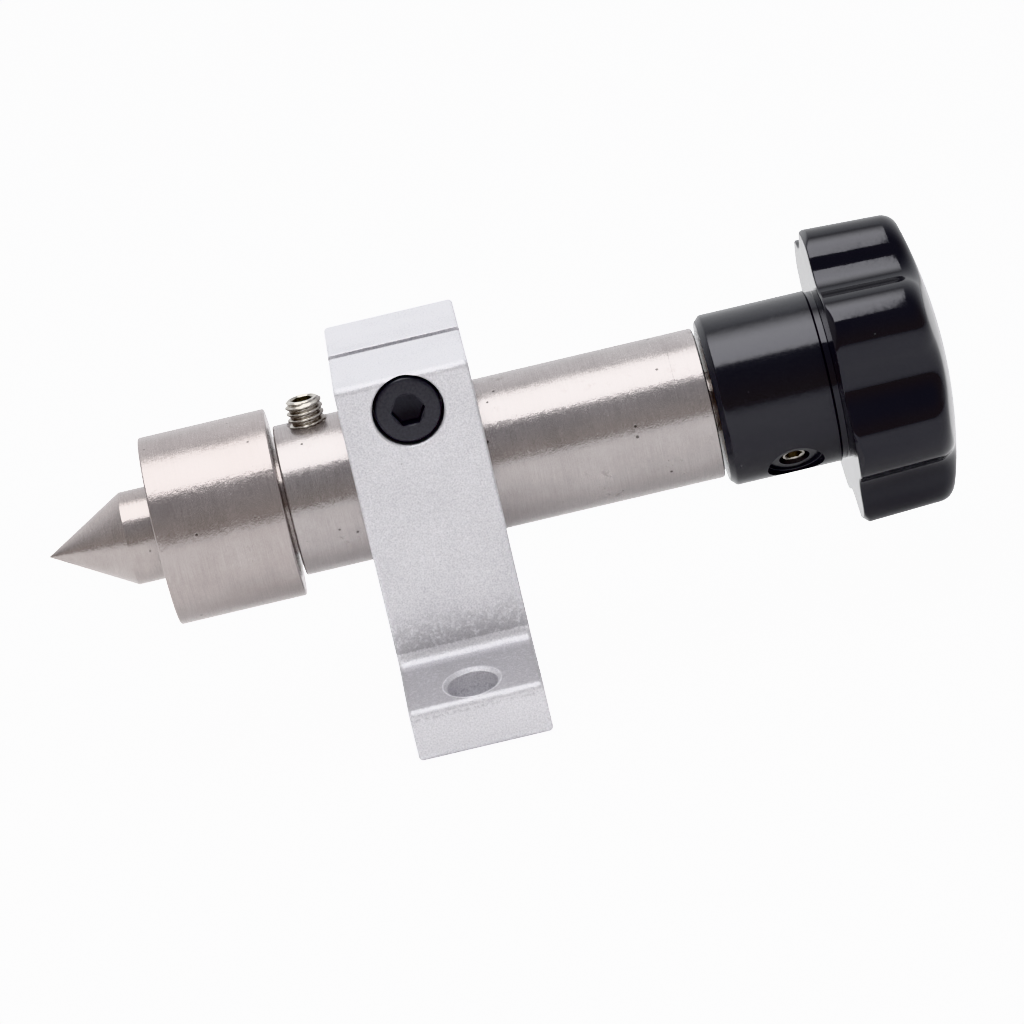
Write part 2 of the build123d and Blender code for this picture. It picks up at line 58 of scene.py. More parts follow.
BARREL_LOW, BARREL_HIGH = corners_of("barrel")
HEAD_LOW, HEAD_HIGH = corners_of("bearing_head")
POINT_LOW, POINT_HIGH = corners_of("center_point")
BLOCK_HIGH = corners_of("support_block")[1]
COLLAR_LOW, COLLAR_HIGH = corners_of("collar")
KNOB_LOW, KNOB_HIGH = corners_of("knob")
LOCK_LOW, LOCK_HIGH = corners_of("lock_screw")
CLAMP_LOW, CLAMP_HIGH = corners_of("clamp_screw")
RADIAL_LOW, RADIAL_HIGH = corners_of("radial_outer_ring")
THRUST_HIGH = corners_of("thrust_housing_washer")[1]

AXIS_Z = (BARREL_LOW.z + BARREL_HIGH.z) / 2
BARREL_R = (BARREL_HIGH.z - BARREL_LOW.z) / 2
HEAD_R = (HEAD_HIGH.z - HEAD_LOW.z) / 2
POINT_R = (POINT_HIGH.z - POINT_LOW.z) / 2
COLLAR_R = (COLLAR_HIGH.z - COLLAR_LOW.z) / 2
CLAMP_Z = (CLAMP_LOW.z + CLAMP_HIGH.z) / 2
LOCK_X = (LOCK_LOW.x + LOCK_HIGH.x) / 2
LOCK_R = (LOCK_HIGH.x - LOCK_LOW.x) / 2
BEARING_FRONT = RADIAL_LOW.x
BEARING_REAR = RADIAL_HIGH.x
THRUST_REAR = THRUST_HIGH.x
SPINDLE = Matrix.Translation((0, 0, AXIS_Z))
SPINDLE_CENTRE = (0.0, 0.0, AXIS_Z * MM)

# Shapes that a box can't tell, piece by piece. Angles are in degrees.
# Point and bearing head
CONE_HALF_ANGLE = 30.0
POINT_FLAT_R = 0.06
POINT_SHANK_R = 4.0
BEARING_SEAT_R = 11.01
THRUST_SEAT_R = 8.01
SPIGOT_SEAT_R = 5.01
RETAINER_R = 11.5
HEAD_LIP = 0.8            # in front of the retaining ring
# Barrel
BARREL_BORE_R = 7.03
BARREL_REAR_BORE_R = 8.05
BARREL_STEP = 26.0
RING_MARK_X = 34.1
RING_MARK_HALF = 0.07
RING_MARK_DEPTH = 0.025
LOCK_HOLE_R = 2.5
LOCK_HOLE_LIP = 0.35
ROW_STEP = 1.2            # between the barrel's rows of points
# Block
BLOCK_BORE_R = 10.03
BOSS_HALF = 17.0
FOOT_EDGE = 6.8
FOOT_ROOT = 9.1
BLOCK_ROUND = 1.1
BLOCK_HOLLOW = 1.5
BLOCK_END_ROUND = 0.6
SLOT_HALF = 1.0
SLOT_CHAMFER = 0.1
EDGE_BREAK = 0.2          # chamfer at the bore and counterbore
BOLT_Y = 25.5
BOLT_HOLE_R = 3.3
BOLT_MOUTH = 0.42         # chamfer round each bolt hole, on top
BOLT_UNDER = 0.3          # the same on the underside
CLAMP_HOLE_R = 2.6
COUNTERBORE_R = 4.6
COUNTERBORE_FLOOR = -11.7
# Clamp screw
CLAMP_SHANK_R = 2.5
CLAMP_HEAD_R = 4.25
CLAMP_KEY = 3.8           # across flats
CLAMP_KEY_DEPTH = 2.5
CLAMP_KEY_RIM_R = 2.16
CLAMP_KEY_INNER_R = 2.0
# Lock screw
LOCK_TIP_R = 1.2
LOCK_TIP_LENGTH = 2.0
LOCK_NECK_R = 2.0
LOCK_THREAD_DEPTH = 0.42
LOCK_PITCH = 0.84
LOCK_KEY = 2.5            # across flats
LOCK_KEY_DEPTH = 2.4
LOCK_KEY_RIM_R = 1.62
LOCK_KEY_INNER_R = 1.44
LOCK_KEY_CHAMFER = 0.16
# Collar and its set screw
COLLAR_BORE_R = 4.01
COLLAR_CHAMFER = 0.8
COLLAR_HOLE_X = 47.2
COLLAR_HOLE_ANGLE = -51.0
COLLAR_RECESS_R = 3.75
COLLAR_RECESS_FLOOR_R = 10.3
SET_SCREW_HOLE_R = 2.0
SET_SCREW_SUNK = 0.35
SET_SCREW_TIP = 4.02
SET_SCREW_TIP_R = 1.5
SET_SCREW_R = 1.95
SET_SCREW_ROOT_R = 1.62
SET_SCREW_PITCH = 0.7
SET_SCREW_KEY = 2.0       # across flats
SET_SCREW_KEY_DEPTH = 1.8
SET_SCREW_KEY_RIM_R = 1.2
SET_SCREW_KEY_INNER_R = 1.05
# All screws
KEY_CHAMFER = 0.12        # depth of the lead-in round a key socket
KEY_FLOOR_SLOPE = 25.0
SMALL_SEGMENTS = 96       # around a hole or a screw head
THREAD_SEGMENTS = 72      # around a threaded screw
THREAD_ROWS = 14          # rows of points to a turn
THREAD_STEEPNESS = 1.45
THREAD_ROOT_FLAT = 0.18
THREAD_END_CHAMFER = 0.5
THREAD_END_SLOPE = 1.2
THREAD_GAP = 0.05         # from the plain tip to the thread
# Knob
KNOB_R = 19.996
KNOB_LOBES = 7
KNOB_LOBE_R = 6.2
KNOB_VALLEY_R = 17.0
KNOB_PHASE = 32.5
KNOB_BACK = 54.3
KNOB_DOME_R = 62.0
KNOB_FRONT_ROUND = 2.4
KNOB_BACK_ROUND = 0.25
KNOB_BACK_CHAMFER = 0.75
KNOB_CHAMFER_ROWS = 3
KNOB_CHAMFER_STEP = 0.15
KNOB_BOSS_R = 11.1
KNOB_BORE_R = 6.0
KNOB_BORE_END = 64.6
KNOB_TAPER = 0.022        # share of its radius that the side loses by the dome
KNOB_SIDE_ROWS = 8
KNOB_RIM_ROWS = 9
KNOB_DOME_ROWS = 14
LOBE_STEPS = 20
VALLEY_STEPS = 12


# --- meshes ------------------------------------------------------------------
def outward(x, angle):
    """Matrix whose X axis points away from the spindle at x, angle degrees above -Y."""
    away = Vector((0, -math.cos(math.radians(angle)), math.sin(math.radians(angle))))
    side = Vector((1, 0, 0))
    turn = Matrix((away, side, away.cross(side))).transposed().to_4x4()
    return Matrix.Translation((x, 0, AXIS_Z)) @ turn


def rounded(corners, steps=ARC_STEPS):
    """Points of a closed outline from (x, r, fillet) corners, each corner turned into an arc."""
    outline = []
    for i, (x, r, fillet) in enumerate(corners):
        here = Vector((x, r))
        if not fillet:
            outline.append(here)
            continue
        back = (Vector(corners[i - 1][:2]) - here).normalized()
        ahead = (Vector(corners[(i + 1) % len(corners)][:2]) - here).normalized()
        half = back.angle(ahead) / 2
        centre = here + (back + ahead).normalized() * fillet / math.sin(half)
        first = here + back * fillet / math.tan(half) - centre
        last = here + ahead * fillet / math.tan(half) - centre
        outline.extend(centre + first.slerp(last, k / steps) * fillet for k in range(steps + 1))
    return outline


def skin(name, rows, closed=True):
    """Object whose surface joins the rows of points in turn. A row of one point is a pole."""
    bm = bmesh.new()
    made = [[bm.verts.new(Vector(point) * MM) for point in row] for row in rows]
    pairs = list(zip(made, made[1:] + made[:1])) if closed else list(zip(made, made[1:]))
    for a, b in pairs:
        if len(a) == 1 and len(b) == 1:
            continue
        count = max(len(a), len(b))
        for i in range(count):
            k = (i + 1) % count
            ring = [a[i % len(a)], a[k % len(a)], b[k % len(b)], b[i % len(b)]]
            face = [v for j, v in enumerate(ring) if v is not ring[j - 1]]
            bm.faces.new(face)
    bmesh.ops.recalc_face_normals(bm, faces=bm.faces)
    mesh = bpy.data.meshes.new(name)
    bm.to_mesh(mesh)
    bm.free()
    obj = bpy.data.objects.new(name, mesh)
    bpy.context.scene.collection.objects.link(obj)
    return obj


def circle(x, r, count=SEGMENTS):
    """Row of points round the local X axis."""
    if r < 1e-6:
        return [Vector((x, 0, 0))]
    turns = [2 * math.pi * i / count for i in range(count)]
    return [Vector((x, r * math.cos(t), r * math.sin(t))) for t in turns]


def lathe(name, corners, place=SPINDLE, count=SEGMENTS):
    """Turned object from (x, r, fillet) corners, about the X axis of place."""
    rows = [circle(x, r, count) for x, r in rounded(corners)]
    return skin(name, [[place @ p for p in row] for row in rows])


def cut(obj, *cutters):
    """Takes the cutters away from obj, and removes them."""
    for cutter in cutters:
        modifier = obj.modifiers.new("cut", "BOOLEAN")
        modifier.operation = "DIFFERENCE"
        modifier.solver = "EXACT"
        modifier.object = cutter
    bpy.context.view_layer.update()
    solid = obj.evaluated_get(bpy.context.evaluated_depsgraph_get())
    mesh = bpy.data.meshes.new_from_object(solid)
    obj.modifiers.clear()
    obj.data = mesh
    for cutter in cutters:
        bpy.data.objects.remove(cutter)
    return obj


def soften(obj):
    """Smooth shading with crisp creases, and flat faces kept flat beside small fillets."""
    mesh = obj.data
    bm = bmesh.new()
    bm.from_mesh(mesh)
    bmesh.ops.remove_doubles(bm, verts=bm.verts, dist=1e-7)
    limit = math.radians(SHARP_DEGREES)
    for edge in bm.edges:
        edge.smooth = len(edge.link_faces) == 2 and edge.calc_face_angle(0) < limit
    for face in bm.faces:
        face.smooth = True
    bm.to_mesh(mesh)
    bm.free()
    weighted = obj.modifiers.new("flat faces", "WEIGHTED_NORMAL")
    weighted.keep_sharp = True
    weighted.weight = 100
    return obj


def stands_for(obj, node, body, slot, *materials):
    """obj is shown in place of a CAD node."""
    soften(obj)
    obj.data.materials.clear()
    for material in materials:
        obj.data.materials.append(material)
    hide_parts(node)
    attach(obj, body)
    return obj


def hexagon(name, across_flats, low, high, place):
    """Hexagonal key socket, as a cutter from low to high along the X axis of place."""
    r = across_flats / 2 / math.cos(math.radians(30))
    tip = across_flats / 2 * math.tan(math.radians(KEY_FLOOR_SLOPE))
    rows = [circle(low - tip, 0), circle(low, r, 6), circle(high, r, 6), circle(high, 0)]
    return skin(name, [[place @ p for p in row] for row in rows])


def make_point():
    """60 degree point with its shank."""
    cone = (POINT_R - POINT_FLAT_R) / math.tan(math.radians(CONE_HALF_ANGLE))
    return lathe("live_point", [
        (POINT_LOW.x, 0, 0), (POINT_LOW.x, POINT_FLAT_R, 0.02), (POINT_LOW.x + cone, POINT_R, 0.12),
        (BEARING_FRONT, POINT_R, 0.15), (BEARING_FRONT, POINT_SHANK_R, 0),
        (POINT_HIGH.x, POINT_SHANK_R, 0.3), (POINT_HIGH.x, 0, 0),
    ])


def make_head():
    """Shell of the bearing head, stepped inside for the two bearings and the retaining ring."""
    front, rear = HEAD_LOW.x, HEAD_HIGH.x
    groove = front + HEAD_LIP
    return lathe("head_shell", [
        (front, BEARING_SEAT_R, 0.1), (front, HEAD_R, 0.32), (rear, HEAD_R, 0.32),
        (rear, SPIGOT_SEAT_R, 0.1), (THRUST_REAR, SPIGOT_SEAT_R, 0), (THRUST_REAR, THRUST_SEAT_R, 0),
        (BEARING_REAR, THRUST_SEAT_R, 0), (BEARING_REAR, BEARING_SEAT_R, 0),
        (BEARING_FRONT, BEARING_SEAT_R, 0), (BEARING_FRONT, RETAINER_R, 0), (groove, RETAINER_R, 0),
        (groove, BEARING_SEAT_R, 0),
    ])


def make_barrel():
    """Barrel with its ring mark and the lock screw's hole, in short rows that shade evenly."""
    front, rear = BARREL_LOW.x, BARREL_HIGH.x
    body = rounded([
        (front, BARREL_BORE_R, 0.15), (front, BARREL_R, 0.28),
        (RING_MARK_X - RING_MARK_HALF, BARREL_R, 0), (RING_MARK_X, BARREL_R - RING_MARK_DEPTH, 0),
        (RING_MARK_X + RING_MARK_HALF, BARREL_R, 0), (rear, BARREL_R, 0.28),
        (rear, BARREL_REAR_BORE_R, 0.1), (BARREL_STEP, BARREL_REAR_BORE_R, 0),
        (BARREL_STEP, BARREL_BORE_R, 0),
    ])
    rows = []
    for a, b in zip(body, body[1:] + body[:1]):
        rows.append(a)
        pieces = max(1, round(abs(b.x - a.x) / ROW_STEP))
        rows.extend(a.lerp(b, k / pieces) for k in range(1, pieces))
    tube = skin("barrel_tube", [[SPINDLE @ p for p in circle(x, r)] for x, r in rows])
    mouth_r = LOCK_HOLE_R + 0.5
    hole = lathe("lock_hole", [
        (0, 0, 0), (0, LOCK_HOLE_R, 0), (BARREL_R - LOCK_HOLE_LIP, LOCK_HOLE_R, 0),
        (BARREL_R + LOCK_HOLE_LIP, mouth_r, 0), (BARREL_R + 1, mouth_r, 0), (BARREL_R + 1, 0, 0),
    ], outward(LOCK_X, 90), 64)
    return cut(tube, hole)


def block_section():
    """Rounded outline of the block in the YZ plane."""
    foot = BLOCK_HIGH.y
    top = BLOCK_HIGH.z
    r, hollow = BLOCK_ROUND, BLOCK_HOLLOW
    return rounded([
        (-foot, 0, r), (foot, 0, r), (foot, FOOT_EDGE, r), (BOSS_HALF, FOOT_ROOT, hollow),
        (BOSS_HALF, top, r), (-BOSS_HALF, top, r), (-BOSS_HALF, FOOT_ROOT, hollow),
        (-foot, FOOT_EDGE, r),
    ])


def inset(outline, amount):
    """The outline moved inwards by an amount, corner by corner."""
    moved = []
    for i, point in enumerate(outline):
        before = (point - outline[i - 1]).normalized()
        after = (outline[(i + 1) % len(outline)] - point).normalized()
        mitre = Vector((-before.y - after.y, before.x + after.x))
        moved.append(point + mitre * amount / (1 + before.dot(after)))
    return moved


def make_block():
    """Clamp bracket with rounded ends. Its second material, nearly black, is painted shade on the
    slot's walls.
    """
    section = block_section()
    end = BLOCK_HIGH.x
    edge = BLOCK_END_ROUND
    rows = []
    for side in (-1, 1):
        turns = [k / ARC_STEPS * math.pi / 2 for k in range(ARC_STEPS + 1)]
        for t in turns if side < 0 else turns[::-1]:
            drawn = inset(section, edge * (1 - math.sin(t)))
            x = side * (end - edge + edge * math.cos(t))
            rows.append([Vector((x, p.x, p.y)) for p in drawn])
    block = skin("block", rows, closed=False)
    cap(block)
    cut(block, *block_cutters())
    for face in block.data.polygons:
        beside_slot = abs(abs(face.center.y) - SLOT_HALF * MM) < 1e-5
        face.material_index = 1 if beside_slot and abs(face.normal.y) > 0.9 else 0
    return block


def cap(obj):
    """Closes the two open ends of a skin with flat faces."""
    bm = bmesh.new()
    bm.from_mesh(obj.data)
    bmesh.ops.holes_fill(bm, edges=[e for e in bm.edges if e.is_boundary])
    bmesh.ops.recalc_face_normals(bm, faces=bm.faces)
    bm.to_mesh(obj.data)
    bm.free()


def slot_cutter():
    """Clamping slot with a small chamfer at the top."""
    end, top = BLOCK_HIGH.x + 1, BLOCK_HIGH.z
    section = [
        (-SLOT_HALF, AXIS_Z), (SLOT_HALF, AXIS_Z), (SLOT_HALF, top - SLOT_CHAMFER),
        (SLOT_HALF + 1, top + 1), (-SLOT_HALF - 1, top + 1), (-SLOT_HALF, top - SLOT_CHAMFER),
    ]
    rows = [[Vector((x, y, z)) for y, z in section] for x in (-end, end)]
    slot = skin("slot", rows, closed=False)
    cap(slot)
    return slot


def bolt_cutters(side):
    """Bolt hole of the foot on one side, and its chamfer square to the sloping foot."""
    fall = (FOOT_ROOT - FOOT_EDGE) / (BLOCK_HIGH.y - BOSS_HALF)
    over = FOOT_EDGE + fall * (BLOCK_HIGH.y - BOLT_Y)
    upright = Matrix.Rotation(math.radians(-90), 4, "Y")
    hole = lathe("bolt_hole", [
        (-1, 0, 0), (-1, BOLT_HOLE_R + 1 + BOLT_UNDER, 0), (BOLT_UNDER, BOLT_HOLE_R, 0),
        (over + 2, BOLT_HOLE_R, 0), (over + 2, 0, 0),
    ], Matrix.Translation((0, side * BOLT_Y, 0)) @ upright, SMALL_SEGMENTS)
    tilt = Matrix.Rotation(-side * math.atan(fall), 4, "X")
    mouth = lathe("bolt_mouth", [
        (-BOLT_MOUTH, 0, 0), (-BOLT_MOUTH, BOLT_HOLE_R - 0.03, 0), (0, BOLT_HOLE_R + BOLT_MOUTH, 0),
        (1, BOLT_HOLE_R + 1.6, 0), (1, 0, 0),
    ], Matrix.Translation((0, side * BOLT_Y, over)) @ tilt @ upright, SMALL_SEGMENTS)
    return [hole, mouth]


def block_cutters():
    """Bore, clamping slot, clamp screw's hole and the two bolt holes."""
    end = BLOCK_HIGH.x
    wide_r = BLOCK_BORE_R + EDGE_BREAK + 1
    bore = lathe("bore", [
        (-end - 1, 0, 0), (-end - 1, wide_r, 0), (-end + EDGE_BREAK, BLOCK_BORE_R, 0),
        (end - EDGE_BREAK, BLOCK_BORE_R, 0), (end + 1, wide_r, 0), (end + 1, 0, 0),
    ])
    slot = slot_cutter()
    towards = Matrix.Translation((0, 0, CLAMP_Z)) @ Matrix.Rotation(math.radians(-90), 4, "Z")
    clamp = lathe("clamp_hole", [
        (-BOSS_HALF - 1, 0, 0), (-BOSS_HALF - 1, CLAMP_HOLE_R, 0),
        (-COUNTERBORE_FLOOR, CLAMP_HOLE_R, 0), (-COUNTERBORE_FLOOR, COUNTERBORE_R, 0),
        (BOSS_HALF - EDGE_BREAK, COUNTERBORE_R, 0.15),
        (BOSS_HALF + 1, COUNTERBORE_R + EDGE_BREAK + 1, 0), (BOSS_HALF + 1, 0, 0),
    ], towards, SMALL_SEGMENTS)
    return [bore, slot, clamp] + bolt_cutters(-1) + bolt_cutters(1)


def make_clamp_screw():
    """M5 socket head screw, its head towards -Y."""
    place = Matrix.Translation((0, 0, CLAMP_Z)) @ Matrix.Rotation(math.radians(-90), 4, "Z")
    top, seat, end = -CLAMP_LOW.y, -COUNTERBORE_FLOOR, -CLAMP_HIGH.y
    socket_top = top - KEY_CHAMFER
    screw = lathe("clamp_bolt", [
        (end, 0, 0), (end, CLAMP_SHANK_R, 0.4), (seat, CLAMP_SHANK_R, 0.15), (seat, CLAMP_HEAD_R, 0.1),
        (top, CLAMP_HEAD_R, 0.45), (top, CLAMP_KEY_RIM_R, 0),
        (socket_top, CLAMP_KEY_INNER_R, 0), (socket_top, 0, 0),
    ], place, SMALL_SEGMENTS)
    return cut(screw, hexagon("key", CLAMP_KEY, top - CLAMP_KEY_DEPTH, top + 1, place))


def thread_rows(low, high, crest_r, root_r, pitch, count, place):
    """Rows of a right-hand V thread about the X axis of place, fading into a chamfer at high."""
    total = int((high - low) / pitch * THREAD_ROWS)
    rows = []
    for j in range(total + 1):
        x = low + (high - low) * j / total
        row = []
        for i in range(count):
            turn = i / count
            phase = (x / pitch - turn) % 1
            rise = min(max(abs(phase * 2 - 1) * THREAD_STEEPNESS - THREAD_ROOT_FLAT, 0), 1)
            r = root_r + (crest_r - root_r) * rise
            r = min(r, crest_r - THREAD_END_CHAMFER + (high - x) * THREAD_END_SLOPE)
            angle = 2 * math.pi * turn
            row.append(place @ Vector((x, r * math.cos(angle), r * math.sin(angle))))
        rows.append(row)
    return rows


def small_circles(corners, place):
    """Rows round the X axis of place, fine enough for a threaded screw."""
    return [[place @ p for p in circle(x, r, THREAD_SEGMENTS)] for x, r in corners]


def make_lock_screw():
    """M5 dog-point grub screw standing in the barrel."""
    place = outward(LOCK_X, 90)
    top, tip = LOCK_HIGH.z - AXIS_Z, LOCK_LOW.z - AXIS_Z
    shoulder = tip + LOCK_TIP_LENGTH
    root_r = LOCK_R - LOCK_THREAD_DEPTH
    rows = small_circles(rounded([
        (tip, 0, 0), (tip, LOCK_TIP_R, 0.15), (shoulder, LOCK_TIP_R, 0), (shoulder, LOCK_NECK_R, 0),
    ]), place)
    rows += thread_rows(shoulder + THREAD_GAP, top, LOCK_R, root_r, LOCK_PITCH, THREAD_SEGMENTS, place)
    socket_top = top - LOCK_KEY_CHAMFER
    rows += small_circles([
        (top, LOCK_KEY_RIM_R), (socket_top, LOCK_KEY_INNER_R), (socket_top, 0),
    ], place)
    screw = skin("lock_grub", rows, closed=False)
    return cut(screw, hexagon("key", LOCK_KEY, top - LOCK_KEY_DEPTH, top + 1, place))


def make_set_screw():
    """M4 grub screw in the collar."""
    place = outward(COLLAR_HOLE_X, COLLAR_HOLE_ANGLE)
    tip, top = SET_SCREW_TIP, COLLAR_RECESS_FLOOR_R - SET_SCREW_SUNK
    rows = small_circles([(tip, 0), (tip, SET_SCREW_TIP_R)], place)
    rows += thread_rows(
        tip + THREAD_GAP, top, SET_SCREW_R, SET_SCREW_ROOT_R, SET_SCREW_PITCH, THREAD_SEGMENTS, place
    )
    socket_top = top - KEY_CHAMFER
    rows += small_circles([
        (top, SET_SCREW_KEY_RIM_R), (socket_top, SET_SCREW_KEY_INNER_R), (socket_top, 0),
    ], place)
    screw = skin("collar_grub", rows, closed=False)
    return cut(screw, hexagon("key", SET_SCREW_KEY, top - SET_SCREW_KEY_DEPTH, top + 1, place))


def make_collar():
    """Collar with a spot-face and a hole for its set screw."""
    front, rear = COLLAR_LOW.x, COLLAR_HIGH.x
    body = lathe("collar_sleeve", [
        (front, COLLAR_BORE_R, 0.1), (front, COLLAR_R - COLLAR_CHAMFER, 0.25),
        (front + COLLAR_CHAMFER, COLLAR_R, 0.5), (COLLAR_HOLE_X - 5, COLLAR_R, 0),
        (COLLAR_HOLE_X + 5, COLLAR_R, 0), (rear, COLLAR_R, 0.2), (rear, COLLAR_BORE_R, 0.1),
    ])
    recess = lathe("recess", [
        (0, 0, 0), (0, SET_SCREW_HOLE_R, 0), (COLLAR_RECESS_FLOOR_R, SET_SCREW_HOLE_R, 0),
        (COLLAR_RECESS_FLOOR_R, COLLAR_RECESS_R, 0.2), (COLLAR_R + 1, COLLAR_RECESS_R, 0),
        (COLLAR_R + 1, 0, 0),
    ], outward(COLLAR_HOLE_X, COLLAR_HOLE_ANGLE), SMALL_SEGMENTS)
    return cut(body, recess)


def arc_between(centre, radius, first, last, steps):
    """Points on a circle between two angles in radians, the last one left out."""
    angles = [first + (last - first) * k / steps for k in range(steps)]
    return [centre + Vector((math.cos(a), math.sin(a))) * radius for a in angles]


def lobed_outline():
    """Outline of the knob and its outward normals: convex lobes joined by tangent valleys."""
    half = math.pi / KNOB_LOBES
    reach = KNOB_R - KNOB_LOBE_R
    flank = reach * math.cos(half)
    hollow = (KNOB_LOBE_R**2 - reach**2 - KNOB_VALLEY_R**2 + 2 * flank * KNOB_VALLEY_R) / (
        2 * (KNOB_VALLEY_R - flank - KNOB_LOBE_R)
    )
    lobe = Vector((reach, 0))
    valley = Vector((math.cos(half), math.sin(half))) * (KNOB_VALLEY_R + hollow)
    across = valley - lobe
    swing = math.atan2(across.y, across.x)
    points, normals = [], []
    for i in range(KNOB_LOBES):
        turn = Matrix.Rotation(math.radians(KNOB_PHASE) + 2 * half * i, 2)
        for p in arc_between(lobe, KNOB_LOBE_R, -swing, swing, LOBE_STEPS):
            points.append(turn @ p)
            normals.append(turn @ (p - lobe).normalized())
        first = swing + math.pi
        last = 2 * half - swing + math.pi
        for p in arc_between(valley, hollow, first, last, VALLEY_STEPS):
            points.append(turn @ p)
            normals.append(turn @ (valley - p).normalized())
    return points, normals


def knob_row(x, outline):
    """Row of the knob's surface at x, from points drawn about its axis."""
    return [Vector((x, -p.x, AXIS_Z + p.y)) for p in outline]


def knob_back_rows(points):
    """Round rows: the bore's floor, the bore, the boss and the start of the back face."""
    outline = rounded([
        (KNOB_BORE_END, 0, 0), (KNOB_BORE_END, KNOB_BORE_R, 0), (KNOB_LOW.x, KNOB_BORE_R, 0.1),
        (KNOB_LOW.x, KNOB_BOSS_R, 0.12), (KNOB_BACK, KNOB_BOSS_R, 0.1),
        (KNOB_BACK, KNOB_BOSS_R + 3, 0),
    ])
    rows = [[Vector((KNOB_BORE_END, 0, AXIS_Z))]]
    rows += [knob_row(x, [p.normalized() * r for p in points]) for x, r in outline[1:]]
    return rows


def knob_edge_rows(points, normals):
    """Lobed rows: a small rounding, then a chamfer on the lobes' back edges."""
    rows = []
    for k in range(ARC_STEPS + 1 + KNOB_CHAMFER_ROWS):
        t = min(k / ARC_STEPS, 1) * math.pi / 2
        rise = KNOB_BACK_ROUND * (1 - math.cos(t)) + max(k - ARC_STEPS, 0) * KNOB_CHAMFER_STEP
        reach = KNOB_R - KNOB_BACK_CHAMFER + rise
        drawn = [p - n * KNOB_BACK_ROUND * (1 - math.sin(t)) for p, n in zip(points, normals)]
        rows.append(knob_row(KNOB_BACK + rise, [p * min(1, reach / p.length) for p in drawn]))
    return rows


def knob_rim(points, normals):
    """Rows of (x, across, up) for the rounding that joins the tapered side to the dome."""
    rows = [[] for _ in range(KNOB_RIM_ROWS)]
    apex = KNOB_HIGH.x
    inner = KNOB_DOME_R - KNOB_FRONT_ROUND
    for p, n in zip(points, normals):
        drawn = p * (1 - KNOB_TAPER)
        centre = drawn - n * KNOB_FRONT_ROUND
        x = apex - KNOB_DOME_R + math.sqrt(inner**2 - centre.length_squared)
        first = Vector((0, n.x, n.y))
        last = Vector((x - apex + KNOB_DOME_R, centre.x, centre.y)).normalized()
        for k, row in enumerate(rows):
            way = first.slerp(last, k / (KNOB_RIM_ROWS - 1)) * KNOB_FRONT_ROUND
            row.append(Vector((x + way.x, *(centre + way.yz))))
    return rows


def knob_front_rows(points, normals):
    """Rows of the tapered side, the rounded rim and the dome."""
    def placed(row):
        return [Vector((q.x, -q.y, AXIS_Z + q.z)) for q in row]

    apex = KNOB_HIGH.x
    rim = knob_rim(points, normals)
    start = [Vector((KNOB_BACK + KNOB_BACK_CHAMFER, p.x, p.y)) for p in points]
    rows = []
    for k in range(KNOB_SIDE_ROWS):
        share = k / KNOB_SIDE_ROWS
        rows.append(placed([a.lerp(b, share) for a, b in zip(start, rim[0])]))
    rows += [placed(row) for row in rim]
    for k in range(1, KNOB_DOME_ROWS):
        dome = []
        for q in rim[-1]:
            p = q.yz * (1 - k / KNOB_DOME_ROWS)
            x = apex - KNOB_DOME_R + math.sqrt(KNOB_DOME_R**2 - p.length_squared)
            dome.append(Vector((x, p.x, p.y)))
        rows.append(placed(dome))
    rows.append([Vector((apex, 0, AXIS_Z))])
    return rows


def make_knob():
    """Seven-lobed knob: boss, back face, tapered side, rounded rim and dome."""
    points, normals = lobed_outline()
    rows = knob_back_rows(points) + knob_edge_rows(points, normals)
    rows += knob_front_rows(points, normals)
    return skin("lobed_knob", rows, closed=False)


